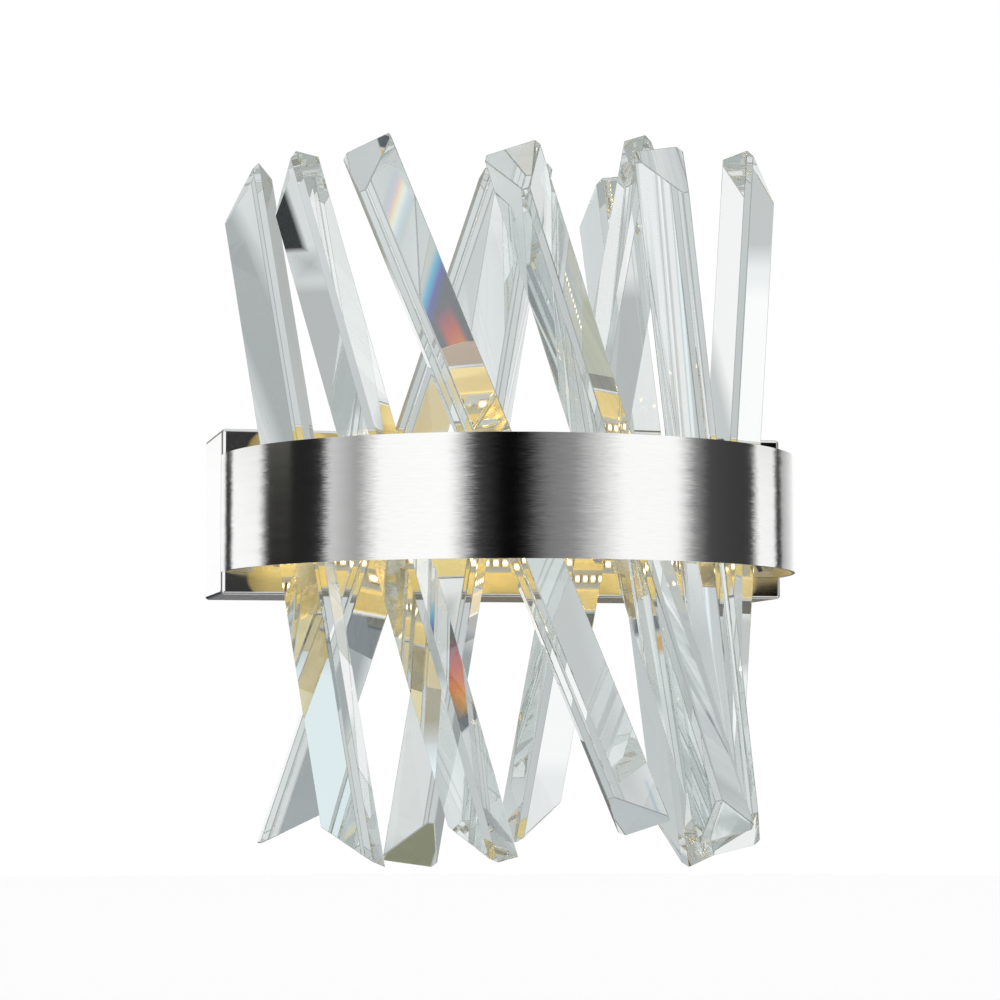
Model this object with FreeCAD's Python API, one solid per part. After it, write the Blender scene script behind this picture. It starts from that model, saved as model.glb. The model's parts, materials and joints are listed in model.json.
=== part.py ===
"""Crystal wall sconce: a flat steel back box, a half-oval steel band in front of it, and ten long
glass prisms that stand crossed inside the band, lit by two rows of lamps.

Millimetres. The origin lies on the wall, at the middle of the wall bracket: +X to the right of
someone who faces the lamp, +Y into the wall, +Z up. "Out" is a depth in front of the box's front
face.
"""
import FreeCAD, Part
import math
import os

V = FreeCAD.Vector
AWAY = V(0, -1, 0)          # out of the wall, towards the room
INTO = V(0, 1, 0)

# ---- driving dimensions ------------------------------------------------------------------------
BOX_WIDTH = 250.0           # back box, outside
BOX_HEIGHT = 71.0
BOX_DEPTH = 55.0
BOX_SHEET = 1.2
BOX_BEND = 1.8              # outer radius of its folded edges

BAND_REACH = 122.5          # how far the crown of the band stands out from the box
BAND_HEIGHT = 50.0
BAND_SHEET = 1.5
BAND_DROP = 1.0             # the band's middle lies this much below the box's middle
BAND_FOOT = 14.0            # width of the feet bent in at both ends of the band
BAND_SCREW_RISE = 19.0      # band screws above and below the band's middle

BRACKET_SHORT = 15.0        # the wall bracket, a channel, ends this far from the box's sides
BRACKET_SHEET = 2.0
BRACKET_FLANGE = 14.0
BRACKET_GAP = 0.3           # between the channel and the box round it
WALL_SLOT_PITCH = 88.9      # fixing slots for an outlet box with screws 3.5 inches apart
WALL_SLOT_WIDTH = 5.0
WALL_SLOT_LENGTH = 14.0
CABLE_HOLE = 22.0
CABLE_BUSHING_BORE = 16.0
LOCK_SCREW_END = 40.0       # lock screws come down through the box's top, this far from its ends
LOCK_SCREW_LENGTH = 8.0

CARRIER_SHEET = 1.5         # slotted plates that hold the prisms
CARRIER_SPREAD = 22.0       # clear height between the two plates
CARRIER_GAP = 0.6           # plate edge to the inside of the band
CARRIER_FLANGE_GAP = 4.0    # between the plates' rear flanges and the band's feet
CARRIER_FLANGE_RISE = 12.0
CARRIER_SCREW_EDGE = 6.0    # their screws, from the flange's ends
POST_ACROSS_FLATS = 5.5     # hexagonal spacer posts between the plates
POST_SCREW_LENGTH = 7.0

GLASS_SIDE = 27.0           # side of the prism's triangle before its edges are bevelled
GLASS_BEVEL = 3.0
GLASS_LENGTH = 300.0        # along the long face
GLASS_CUT = 43.0            # angle of both end cuts, short at the ridge
SLOT_GAP = 0.6              # between a prism and its slots
PIN_DIAMETER = 3.0
PIN_REST = 2.5              # length of pin that lies on the plate at each side of its slot
SLEEVE_WALL = 0.7
SLEEVE_LENGTH = 11.0
SLEEVE_GAP = 0.05           # between sleeve and glass, and between pin and sleeve

LAMP_COUNT = 42
LAMP_PITCH = 4.2
LAMP_SIZE = (2.8, 0.9, 3.5)     # along X, out from the board, along Z
LAMP_BOARD_END = 4.0            # bare board at each end
LAMP_BOARD_INSET = 19.5         # left end of the board, from the end of its flange
LAMP_BOARD_HEIGHT = 8.0
LAMP_BOARD_SHEET = 1.2
LAMP_BOARD_EDGE = 0.4           # board to the free edge of its flange

M3 = 3.0
M4 = 4.0
HOLE_GAP = 0.3              # a hole is this much wider than its screw
THREAD_GAP = 0.1            # a threaded hole is this much wider than its screw
THREAD_END = 0.6            # a screw stands this far out of its nut
NUT_HEIGHT = 0.8            # nut and head sizes as parts of the screw's diameter
NUT_ACROSS_FLATS = 1.75
HEAD_HEIGHT = 0.6
HEAD_WIDTH = 2.0

DRIVER_X = 8.0              # middle of the lamp driver
DRIVER_LENGTH = 112.0
DRIVER_HEIGHT = 40.0
DRIVER_DEPTH = 23.0
DRIVER_TRAY = 14.0          # depth of its tray; its cover makes up the rest
DRIVER_WALL = 2.0
DRIVER_EAR = (9.0, 2.0, 16.0)
DRIVER_SCREW_LENGTH = 4.0
BOARD_RISE = 3.0            # the driver's circuit board above the floor of its tray
BOARD_SHEET = 1.6
BOARD_FOOT = 4.0
BOARD_FOOT_INSET = 6.0
TRANSFORMER = (22.0, 12.0, 20.0)            # width, depth and height
CHOKE = (12.0, 8.0, 12.0)
CHOKE_X = 27.0                              # from the driver's middle
CAPACITORS = ((-28.0, 12.0), (-42.0, 9.0))  # from the driver's middle, and diameter
CAPACITOR_DEPTH = 11.0

TERMINAL_END = 26.0         # terminal block on the wall bracket, from the bracket's end
TERMINAL_SIZE = (20.0, 16.0, 30.0)
POLE_PITCH = 9.0
POLE_RISE = 5.0             # wire holes above the bracket
POLE_HOLE = 3.2
CLAMP_SCREW = (3.4, 3.6)    # diameter and the well it stands in
CLAMP_SINK = 2.5
TERMINAL_SINK = 9.0         # its fixing screws' heads lie this deep in it
TERMINAL_SCREW_LENGTH = 9.0

LEAD = 2.0                  # outside diameter of every lead
LEAD_BEND = 3.0
LAMP_LEAD_BEND = 1.6
DRIVER_LEAD_OUT = 8.0       # leads leave the driver this far behind the front wall
DRIVER_LEAD_SPREAD = 6.0
BUSHING_GAP = 5.0           # from the lamp boards to the holes where their leads leave the box
BUSHING_HOLE = 6.0
BUSHING_LIP = 1.2
BUSHING_LIP_WIDTH = 8.0

EARTH_END = 30.0            # earth screws, from the bracket's other end
EARTH_BOX_Z = 0.0
EARTH_BRACKET_Z = 18.0
EARTH_SCREW_LENGTH = 2.8
TAG_SHEET = 0.8
TAG_WIDTH = 8.0
TAG_BARREL = (6.0, 5.0)     # from the screw to the barrel, and the barrel's length
EARTH_LOOP_Z = -20.0

# One line for each prism: where its axis crosses the band's middle height (across the box, out
# from the box), how far its top leans to the left, how far its top leans back to the wall, how far
# its ridge is turned to the right of straight ahead, and how far its middle stands above the
# band's middle. Millimetres and degrees.
FRONT_ROW = [
    (-97.5, 46.0, 7.5, 12.0, -112.0, -2.0),
    (-66.0, 72.0, 15.0, 6.0, -125.0, -2.0),
    (-23.0, 96.0, 22.7, 0.0, -40.0, 4.5),
    (30.5, 82.0, 18.6, -3.0, -13.0, 4.0),
    (70.0, 66.0, 9.0, -9.0, 14.0, 1.5),
]
REAR_ROW = [
    (-58.5, 34.0, -18.5, 0.0, 85.0, 1.0),
    (-27.0, 55.0, -9.1, -3.0, 8.0, -0.5),
    (20.5, 55.0, -10.4, -2.0, 100.0, 8.5),
    (56.5, 18.0, 9.2, -7.5, -139.0, -3.0),
    (95.0, 20.0, -4.5, 2.0, 103.0, 11.5),
]

# Spacer posts, across the box and out from it, each in a gap between the prisms. The last one is
# placed from the crown of the band.
POSTS = [(-78.0, 9.0), (8.0, 10.0), (71.0, 38.0), (11.0, BAND_REACH - 14.5)]

# ---- sizes that follow -------------------------------------------------------------------------
FRONT = -BOX_DEPTH                          # the box's front face
INSIDE = FRONT + BOX_SHEET                  # the same wall, seen from inside
MIDDLE = -BAND_DROP                         # the band's middle height
HALF_WIDTH = BOX_WIDTH / 2                  # the band is as wide as the box
BRACKET_WIDTH = BOX_WIDTH - 2 * BRACKET_SHORT
LOCK_SCREW_X = BRACKET_WIDTH / 2 - LOCK_SCREW_END
TERMINAL_X = BRACKET_WIDTH / 2 - TERMINAL_END
EARTH_X = EARTH_END - BRACKET_WIDTH / 2
BAND_BOTTOM = MIDDLE - BAND_HEIGHT / 2
BAND_SCREW_X = HALF_WIDTH - BAND_SHEET - (BAND_FOOT - BAND_SHEET) / 2
CARRIER_FRONT = FRONT - CARRIER_SHEET       # front of the plates' rear flanges
CARRIER_FLANGE_X = HALF_WIDTH - BAND_FOOT - CARRIER_FLANGE_GAP
CARRIER_SCREW_X = CARRIER_FLANGE_X - CARRIER_SCREW_EDGE
CARRIER_TOP = CARRIER_SPREAD / 2 + CARRIER_SHEET    # outer face of a plate, from the middle
LAMP_RISE = CARRIER_TOP + CARRIER_FLANGE_RISE - LAMP_BOARD_EDGE - LAMP_BOARD_HEIGHT / 2
LAMP_FACE = CARRIER_FRONT - LAMP_BOARD_SHEET
LAMP_BOARD_LEFT = LAMP_BOARD_INSET - CARRIER_FLANGE_X
BUSHING_X = LAMP_BOARD_LEFT - BUSHING_GAP
BRACKET_HEIGHT = BOX_HEIGHT - 2 * BOX_SHEET - 2 * BRACKET_GAP
BRACKET_FRONT = -BRACKET_SHEET
LOCK_SCREW_Y = -(BRACKET_SHEET + BRACKET_FLANGE) / 2
FACE_DEPTH = GLASS_SIDE / (2 * math.sqrt(3))        # prism's axis to its long face
PIN_HOLE = PIN_DIAMETER + 2 * SLEEVE_WALL + 4 * SLEEVE_GAP
PIN_LEVEL = MIDDLE + CARRIER_TOP + PIN_DIAMETER / 2
DRIVER_ENDS = (DRIVER_X - DRIVER_LENGTH / 2, DRIVER_X + DRIVER_LENGTH / 2)
DRIVER_SCREW_X = (DRIVER_LENGTH + DRIVER_EAR[0]) / 2
DRIVER_SPLIT = INSIDE + DRIVER_TRAY
TERMINAL_FACE = BRACKET_FRONT - TERMINAL_SIZE[1]
TERMINAL_WIRES = BRACKET_FRONT - POLE_RISE
BOTH_WAYS = (-1, 1)


# ---- shapes ------------------------------------------------------------------------------------
def block(x, y, z):
    """A box between two values on each axis, in any order."""
    low = V(min(x), min(y), min(z))
    return Part.makeBox(max(x) - low.x, max(y) - low.y, max(z) - low.z, low)


def centred(middle, size):
    return (middle - size / 2, middle + size / 2)


def rod(diameter, start, end):
    """A round bar from one point to another."""
    return Part.makeCylinder(diameter / 2, (end - start).Length, start, end - start)


def hexagon_bar(across_flats, start, end):
    turn = FreeCAD.Rotation(V(0, 0, 1), end - start)
    corners = []
    for k in range(7):
        a = math.radians(60 * k)
        corner = V(math.cos(a), math.sin(a), 0) * (across_flats / math.sqrt(3))
        corners.append(start + turn.multVec(corner))
    return Part.Face(Part.makePolygon(corners)).extrude(end - start)


def screw(size, seat, way, length):
    """A slotted pan-head screw: the underside of its head at seat, its shank along way."""
    top = seat - way * (size * HEAD_HEIGHT)
    head = rod(size * HEAD_WIDTH, top, seat)
    rim = [e for e in head.Edges if e.Closed and (e.CenterOfMass - top).Length < 0.01]
    head = head.makeFillet(size * HEAD_HEIGHT / 2, rim)
    groove = block(centred(0, size * HEAD_WIDTH), centred(0, size / 4), centred(0, size / 2))
    groove.Placement = FreeCAD.Placement(top, FreeCAD.Rotation(V(0, 0, 1), way))
    return head.cut(groove).fuse(rod(size, seat, seat + way * length)).removeSplitter()


def nut(size, seat, way):
    far = seat + way * (size * NUT_HEIGHT)
    return hexagon_bar(size * NUT_ACROSS_FLATS, seat, far).cut(rod(size + THREAD_GAP, seat, far))


def lead(points, bend):
    """A round lead: straight runs joined by tangent arcs."""
    edges = []
    last = points[0]
    for before, corner, after in zip(points, points[1:], points[2:]):
        back, on = (before - corner).normalize(), (after - corner).normalize()
        half = back.getAngle(on) / 2
        first, second = [corner + way * (bend / math.tan(half)) for way in (back, on)]
        nearest = corner + (back + on).normalize() * (bend / math.sin(half) - bend)
        edges.append(Part.LineSegment(last, first).toShape())
        edges.append(Part.Arc(first, nearest, second).toShape())
        last = second
    edges.append(Part.LineSegment(last, points[-1]).toShape())
    ring = Part.Wire(Part.Circle(points[0], points[1] - points[0], LEAD / 2).toShape())
    return Part.Wire(edges).makePipeShell([ring], True, False)


def half_oval(width, reach, z):
    """A solid half oval in front of the box, between two heights."""
    middle = V(0, FRONT, min(z))
    longer, shorter = sorted((V(width, 0, 0), V(0, reach, 0)), key=lambda axis: -axis.Length)
    oval = Part.Ellipse(middle + longer, middle + shorter, middle).toShape()
    whole = Part.Face(Part.Wire(oval)).extrude(V(0, 0, abs(z[1] - z[0])))
    return whole.common(block(centred(0, 3 * width), (FRONT - 2 * reach, FRONT), z))


def four(x, rise):
    """Four places (x, z) about the band's middle."""
    return [(a * x, MIDDLE + b * rise) for a in BOTH_WAYS for b in BOTH_WAYS]


BAND_SCREWS = four(BAND_SCREW_X, BAND_SCREW_RISE)
CARRIER_SCREWS = four(CARRIER_SCREW_X, LAMP_RISE)
BUSHINGS = [(BUSHING_X, MIDDLE + up * LAMP_RISE) for up in BOTH_WAYS]
DRIVER_SCREWS = [(DRIVER_X + side * DRIVER_SCREW_X, 0.0) for side in BOTH_WAYS]
TERMINAL_SCREWS = [(TERMINAL_X, side * POLE_PITCH / 2) for side in BOTH_WAYS]
LOCK_SCREWS = [side * LOCK_SCREW_X for side in BOTH_WAYS]


def drill(part, places, diameter, y):
    """Holes along Y through part, at places (x, z)."""
    for x, z in places:
        part = part.cut(rod(diameter, V(x, y[0], z), V(x, y[1], z)))
    return part


def drill_down(part, places, diameter, z):
    """Holes along Z through part, at places (x, y)."""
    for x, y in places:
        part = part.cut(rod(diameter, V(x, y, z[0]), V(x, y, z[1])))
    return part


# ---- prisms ------------------------------------------------------------------------------------
def prism_frame(row):
    """Where a prism stands, its axis upwards, the way its ridge faces and the way to its side."""
    across, out, lean, back, turn, rise = row
    axis = V(-math.tan(math.radians(lean)), math.tan(math.radians(back)), 1).normalize()
    ahead = (AWAY - axis * AWAY.dot(axis)).normalize()
    right = axis.cross(ahead)
    turn = math.radians(turn)
    ridge = ahead * math.cos(turn) + right * math.sin(turn)
    side = right * math.cos(turn) - ahead * math.sin(turn)
    return V(across, FRONT - out, MIDDLE), axis, ridge, side


def prism_section(grow):
    """Six corners of the bevelled triangle, as (towards its side, towards its ridge)."""
    face = FACE_DEPTH + grow
    bevel = GLASS_SIDE / math.sqrt(3) - GLASS_BEVEL * math.sqrt(3) / 2 + grow
    half_bevel = (face - bevel / 2) / math.sin(math.radians(60))
    corners = []
    for k in range(3):
        a = math.radians(120 * k)
        for way in BOTH_WAYS:
            corners.append((bevel * math.sin(a) + way * half_bevel * math.cos(a),
                            bevel * math.cos(a) - way * half_bevel * math.sin(a)))
    return corners


def prism(row, grow=0.0):
    """The glass without its hole, or with grow the room that a slot leaves round it."""
    foot, axis, ridge, side = prism_frame(row)
    tops, bottoms = [], []
    for sideways, forwards in prism_section(grow):
        half = GLASS_LENGTH / 2 - (FACE_DEPTH + forwards) * math.tan(math.radians(GLASS_CUT))
        corner = foot + side * sideways + ridge * forwards + axis * row[-1]
        tops.append(corner + axis * half)
        bottoms.append(corner - axis * half)
    rings = [tops, bottoms]
    for k in range(6):
        n = (k + 1) % 6
        rings.append([tops[k], tops[n], bottoms[n], bottoms[k]])
    solid = Part.Solid(Part.Shell([Part.Face(Part.makePolygon(r + r[:1])) for r in rings]))
    if solid.Volume < 0:
        solid.reverse()
    return solid


def pin_line(row):
    """Both ends of the glass that a prism's level pin passes through."""
    foot, axis, ridge, side = prism_frame(row)
    middle = foot + axis * ((PIN_LEVEL - foot.z) / axis.z)
    way = axis.cross(V(0, 0, 1)).normalize()
    inside = Part.makeLine(middle - way * GLASS_SIDE, middle + way * GLASS_SIDE).common(prism(row))
    return [v.Point for v in inside.Vertexes]


def pin_bar(row, diameter, length):
    """A bar on the pin's line, centred in the glass that it passes through."""
    near, far = pin_line(row)
    middle, way = (near + far) / 2, (far - near).normalize()
    return rod(diameter, middle - way * (length / 2), middle + way * (length / 2))


def pin_length():
    """One length for every pin, so that it rests on the plate at both sides of any slot."""
    widest = max((pin_line(row)[1] - pin_line(row)[0]).Length for row in FRONT_ROW + REAR_ROW)
    return widest + 2 * (SLOT_GAP + PIN_REST)


def crystal(row):
    return prism(row).cut(pin_bar(row, PIN_HOLE, 2 * GLASS_SIDE))


def crystal_pins():
    length = pin_length()
    return [pin_bar(row, PIN_DIAMETER, length) for row in FRONT_ROW + REAR_ROW]


def pin_sleeves():
    sleeves = []
    for row in FRONT_ROW + REAR_ROW:
        outer = pin_bar(row, PIN_HOLE - 2 * SLEEVE_GAP, SLEEVE_LENGTH)
        sleeves.append(outer.cut(pin_bar(row, PIN_DIAMETER + 2 * SLEEVE_GAP, GLASS_SIDE)))
    return sleeves


# ---- wall side ---------------------------------------------------------------------------------
def wall_bracket():
    half = BRACKET_HEIGHT / 2
    lips = half - BRACKET_SHEET
    part = block(centred(0, BRACKET_WIDTH), (-BRACKET_FLANGE, 0), centred(0, BRACKET_HEIGHT))
    part = part.cut(block(centred(0, BRACKET_WIDTH + 2), (-BRACKET_FLANGE - 1, BRACKET_FRONT),
                          (-lips, lips)))
    web = (BRACKET_FRONT, 0)
    part = drill(part, [(0, 0)], CABLE_HOLE, web)
    straight = (WALL_SLOT_LENGTH - WALL_SLOT_WIDTH) / 2
    for middle in centred(0, WALL_SLOT_PITCH):
        ends = (middle - straight, middle + straight)
        part = part.cut(block(ends, web, centred(0, WALL_SLOT_WIDTH)))
        part = drill(part, [(x, 0) for x in ends], WALL_SLOT_WIDTH, web)
    part = drill(part, [(EARTH_X, EARTH_BRACKET_Z)], M4 + THREAD_GAP, web)
    part = drill(part, TERMINAL_SCREWS, M3 + THREAD_GAP, web)
    return drill_down(part, [(x, LOCK_SCREW_Y) for x in LOCK_SCREWS], M4 + THREAD_GAP, (lips, half))


def cable_bushing():
    """Rubber bushing with lips on both sides of the bracket's cable hole."""
    lip = CABLE_HOLE + 2 * BUSHING_LIP
    front = BRACKET_FRONT - BUSHING_LIP
    body = rod(CABLE_HOLE, V(0, BRACKET_FRONT, 0), V(0, 0, 0))
    body = body.fuse(rod(lip, V(0, front, 0), V(0, BRACKET_FRONT, 0))).removeSplitter()
    return body.cut(rod(CABLE_BUSHING_BORE, V(0, front, 0), V(0, 0, 0)))


def back_box():
    half = BOX_HEIGHT / 2
    shell = block(centred(0, BOX_WIDTH), (FRONT, 0), centred(0, BOX_HEIGHT))
    shell = shell.makeFillet(BOX_BEND, [e for e in shell.Edges if e.CenterOfMass.y < -1])
    shell = shell.cut(block(centred(0, BOX_WIDTH - 2 * BOX_SHEET), (INSIDE, 0),
                            centred(0, BOX_HEIGHT - 2 * BOX_SHEET)))
    wall = (FRONT, INSIDE)
    shell = drill(shell, BUSHINGS, BUSHING_HOLE, wall)
    shell = drill(shell, BAND_SCREWS, M4 + HOLE_GAP, wall)
    shell = drill(shell, CARRIER_SCREWS, M3 + HOLE_GAP, wall)
    shell = drill(shell, DRIVER_SCREWS, M3 + THREAD_GAP, wall)
    shell = drill(shell, [(EARTH_X, EARTH_BOX_Z)], M4 + THREAD_GAP, wall)
    return drill_down(shell, [(x, LOCK_SCREW_Y) for x in LOCK_SCREWS], M4 + HOLE_GAP,
                      (half - BOX_SHEET, half))


def lock_screws():
    return [screw(M4, V(x, LOCK_SCREW_Y, BOX_HEIGHT / 2), V(0, 0, -1), LOCK_SCREW_LENGTH)
            for x in LOCK_SCREWS]


# ---- band --------------------------------------------------------------------------------------
def front_band():
    z = centred(MIDDLE, BAND_HEIGHT)
    strip = half_oval(HALF_WIDTH, BAND_REACH, z)
    strip = strip.cut(half_oval(HALF_WIDTH - BAND_SHEET, BAND_REACH - BAND_SHEET, z))
    for side in BOTH_WAYS:
        x = (side * (HALF_WIDTH - BAND_FOOT), side * (HALF_WIDTH - BAND_SHEET / 2))
        strip = strip.fuse(block(x, (FRONT - BAND_SHEET, FRONT), z))
    return drill(strip.removeSplitter(), BAND_SCREWS, M4 + HOLE_GAP, (FRONT - BAND_SHEET, FRONT))


def wall_screws(size, places, sheet):
    """Screws from inside the box, through its wall and the sheet in front of it, to their nuts."""
    length = BOX_SHEET + sheet + size * NUT_HEIGHT + THREAD_END
    return [screw(size, V(x, INSIDE, z), AWAY, length) for x, z in places]


def wall_nuts(size, places, sheet):
    return [nut(size, V(x, FRONT - sheet, z), AWAY) for x, z in places]


# ---- plates that carry the prisms --------------------------------------------------------------
def carrier(up):
    """A slotted plate with its rear flange; up is 1 for the upper plate and -1 for the lower."""
    inner, outer = MIDDLE + up * CARRIER_SPREAD / 2, MIDDLE + up * CARRIER_TOP
    edge = BAND_SHEET + CARRIER_GAP
    part = half_oval(HALF_WIDTH - edge, BAND_REACH - edge, (inner, outer))
    clear = HALF_WIDTH - BAND_FOOT - CARRIER_GAP
    for side in BOTH_WAYS:
        part = part.cut(block((side * clear, side * HALF_WIDTH),
                              (FRONT - BAND_SHEET - CARRIER_GAP, FRONT), (inner, outer)))
    flange = block(centred(0, 2 * CARRIER_FLANGE_X), (CARRIER_FRONT, FRONT),
                   (inner, outer + up * CARRIER_FLANGE_RISE))
    part = part.fuse(flange).removeSplitter()
    for row in FRONT_ROW + REAR_ROW:
        part = part.cut(prism(row, SLOT_GAP))
    own = [place for place in CARRIER_SCREWS if up * (place[1] - MIDDLE) > 0]
    part = drill(part, own, M3 + HOLE_GAP, (CARRIER_FRONT, FRONT))
    part = drill(part, BUSHINGS, BUSHING_HOLE, (CARRIER_FRONT, FRONT))
    return drill_down(part, [(x, FRONT - out) for x, out in POSTS], M3 + HOLE_GAP,
                      sorted((inner, outer)))


def spacer_posts():
    posts = []
    for x, out in POSTS:
        low, high = [V(x, FRONT - out, z) for z in centred(MIDDLE, CARRIER_SPREAD)]
        posts.append(hexagon_bar(POST_ACROSS_FLATS, low, high).cut(rod(M3 + THREAD_GAP, low, high)))
    return posts


def post_screws():
    return [screw(M3, V(x, FRONT - out, MIDDLE + up * CARRIER_TOP), V(0, 0, -up), POST_SCREW_LENGTH)
            for x, out in POSTS for up in BOTH_WAYS]


# ---- light -------------------------------------------------------------------------------------
def lamp_board(up):
    length = LAMP_COUNT * LAMP_PITCH + 2 * LAMP_BOARD_END
    return block((LAMP_BOARD_LEFT, LAMP_BOARD_LEFT + length), (LAMP_FACE, CARRIER_FRONT),
                 centred(MIDDLE + up * LAMP_RISE, LAMP_BOARD_HEIGHT))


def lamps(up):
    wide, thick, tall = LAMP_SIZE
    first = LAMP_BOARD_LEFT + LAMP_BOARD_END + LAMP_PITCH / 2
    return [block(centred(first + k * LAMP_PITCH, wide), (LAMP_FACE - thick, LAMP_FACE),
                  centred(MIDDLE + up * LAMP_RISE, tall)) for k in range(LAMP_COUNT)]


# ---- lamp driver -------------------------------------------------------------------------------
def driver_hollow(y):
    ends = (DRIVER_ENDS[0] + DRIVER_WALL, DRIVER_ENDS[1] - DRIVER_WALL)
    return block(ends, y, centred(0, DRIVER_HEIGHT - 2 * DRIVER_WALL))


def driver_tray():
    """The driver's tray stands on the inside of the front wall on two ears."""
    wide, thick, tall = DRIVER_EAR
    tray = block(DRIVER_ENDS, (INSIDE, DRIVER_SPLIT), centred(0, DRIVER_HEIGHT))
    tray = tray.cut(driver_hollow((INSIDE + DRIVER_WALL, DRIVER_SPLIT)))
    for side, end in zip(BOTH_WAYS, DRIVER_ENDS):
        tray = tray.fuse(block((end - side * DRIVER_WALL, end + side * wide),
                               (INSIDE, INSIDE + thick), centred(0, tall)))
    tray = drill(tray.removeSplitter(), DRIVER_SCREWS, M3 + HOLE_GAP, (INSIDE, INSIDE + thick))
    for route in lamp_lead_routes() + supply_lead_routes():
        way = (route[1] - route[0]).normalize()
        tray = tray.cut(rod(LEAD + HOLE_GAP, route[0] - way, route[0] + way * DRIVER_WALL))
    return tray


def driver_cover():
    back = INSIDE + DRIVER_DEPTH
    cover = block(DRIVER_ENDS, (DRIVER_SPLIT, back), centred(0, DRIVER_HEIGHT))
    cover = cover.makeFillet(DRIVER_WALL, [e for e in cover.Edges if e.CenterOfMass.y > back - 0.01])
    return cover.cut(driver_hollow((DRIVER_SPLIT, back - DRIVER_WALL)))


def driver_board():
    inner = DRIVER_WALL + HOLE_GAP
    floor = INSIDE + DRIVER_WALL
    board = block((DRIVER_ENDS[0] + inner, DRIVER_ENDS[1] - inner),
                  (floor + BOARD_RISE, floor + BOARD_RISE + BOARD_SHEET),
                  centred(0, DRIVER_HEIGHT - 2 * inner))
    for x in centred(DRIVER_X, DRIVER_LENGTH - 2 * BOARD_FOOT_INSET):
        for z in centred(0, DRIVER_HEIGHT - 2 * BOARD_FOOT_INSET):
            board = board.fuse(rod(BOARD_FOOT, V(x, floor, z), V(x, floor + BOARD_RISE, z)))
    return board.removeSplitter()


def driver_parts():
    """Transformer, two round capacitors and a choke on the driver's board."""
    top = INSIDE + DRIVER_WALL + BOARD_RISE + BOARD_SHEET
    parts = []
    for x, (wide, deep, tall) in ((DRIVER_X, TRANSFORMER), (DRIVER_X + CHOKE_X, CHOKE)):
        parts.append(block(centred(x, wide), (top, top + deep), centred(0, tall)))
    for x, diameter in CAPACITORS:
        parts.append(rod(diameter, V(DRIVER_X + x, top, 0), V(DRIVER_X + x, top + CAPACITOR_DEPTH, 0)))
    return parts


def driver_screws():
    seat = INSIDE + DRIVER_EAR[1]
    return [screw(M3, V(x, seat, z), AWAY, DRIVER_SCREW_LENGTH) for x, z in DRIVER_SCREWS]


# ---- terminal block, leads and earth -----------------------------------------------------------
def clamp_places():
    return [(TERMINAL_X + side * TERMINAL_SIZE[0] / 4, pole * POLE_PITCH)
            for pole in (-1, 0, 1) for side in BOTH_WAYS]


def terminal_block():
    wide, deep, tall = TERMINAL_SIZE
    body = block(centred(TERMINAL_X, wide), (TERMINAL_FACE, BRACKET_FRONT), centred(0, tall))
    for pole in (-1, 0, 1):
        near, far = [V(x, TERMINAL_WIRES, pole * POLE_PITCH) for x in centred(TERMINAL_X, wide)]
        body = body.cut(rod(POLE_HOLE, near, far))
    body = drill(body, clamp_places(), CLAMP_SCREW[1], (TERMINAL_FACE, TERMINAL_WIRES))
    body = drill(body, TERMINAL_SCREWS, M3 + HOLE_GAP, (TERMINAL_FACE, BRACKET_FRONT))
    return drill(body, TERMINAL_SCREWS, M3 * HEAD_WIDTH + HOLE_GAP,
                 (TERMINAL_FACE, TERMINAL_FACE + TERMINAL_SINK))


def clamp_screws():
    tip = TERMINAL_WIRES - POLE_HOLE / 2
    return [rod(CLAMP_SCREW[0], V(x, TERMINAL_FACE + CLAMP_SINK, z), V(x, tip, z))
            for x, z in clamp_places()]


def terminal_screws():
    return [screw(M3, V(x, TERMINAL_FACE + TERMINAL_SINK, z), INTO, TERMINAL_SCREW_LENGTH)
            for x, z in TERMINAL_SCREWS]


def wire_bushings():
    """Rubber bushings where the lamp leads pass the box's wall and the plates' flanges."""
    bushings = []
    for x, z in BUSHINGS:
        ends = [V(x, y, z) for y in (INSIDE + BUSHING_LIP, INSIDE, CARRIER_FRONT,
                                     CARRIER_FRONT - BUSHING_LIP)]
        body = rod(BUSHING_LIP_WIDTH, ends[0], ends[1]).fuse(rod(BUSHING_HOLE, ends[1], ends[2]))
        body = body.fuse(rod(BUSHING_LIP_WIDTH, ends[2], ends[3])).removeSplitter()
        bushings.append(body.cut(rod(LEAD + HOLE_GAP, ends[0], ends[3])))
    return bushings


def lamp_lead_routes():
    """From the driver's left end, through a bushing, to the pads of each lamp board."""
    start = DRIVER_ENDS[0]
    depth = INSIDE + DRIVER_LEAD_OUT
    crest = CARRIER_FRONT - BUSHING_LIP - 2 * LAMP_LEAD_BEND
    pad = LAMP_BOARD_LEFT + LAMP_BOARD_END / 2
    routes = []
    for up in BOTH_WAYS:
        z = MIDDLE + up * LAMP_RISE
        routes.append([V(start + 1, depth, up * DRIVER_LEAD_SPREAD),
                       V(start - 12, depth, up * DRIVER_LEAD_SPREAD),
                       V(BUSHING_X, depth, z), V(BUSHING_X, crest, z), V(pad, crest, z),
                       V(pad, LAMP_FACE, z)])
    return routes


def supply_lead_routes():
    """From the driver's right end round to the far side of the terminal block."""
    start = DRIVER_ENDS[1]
    depth = INSIDE + DRIVER_LEAD_OUT
    side = TERMINAL_X + TERMINAL_SIZE[0] / 2
    turn = side + 4 * LEAD_BEND
    return [[V(start - 1, depth, up * DRIVER_LEAD_SPREAD),
             V(start + 18, depth, up * DRIVER_LEAD_SPREAD), V(turn, depth, up * POLE_PITCH),
             V(turn, TERMINAL_WIRES, up * POLE_PITCH), V(side - 3, TERMINAL_WIRES, up * POLE_PITCH)]
            for up in BOTH_WAYS]


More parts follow.
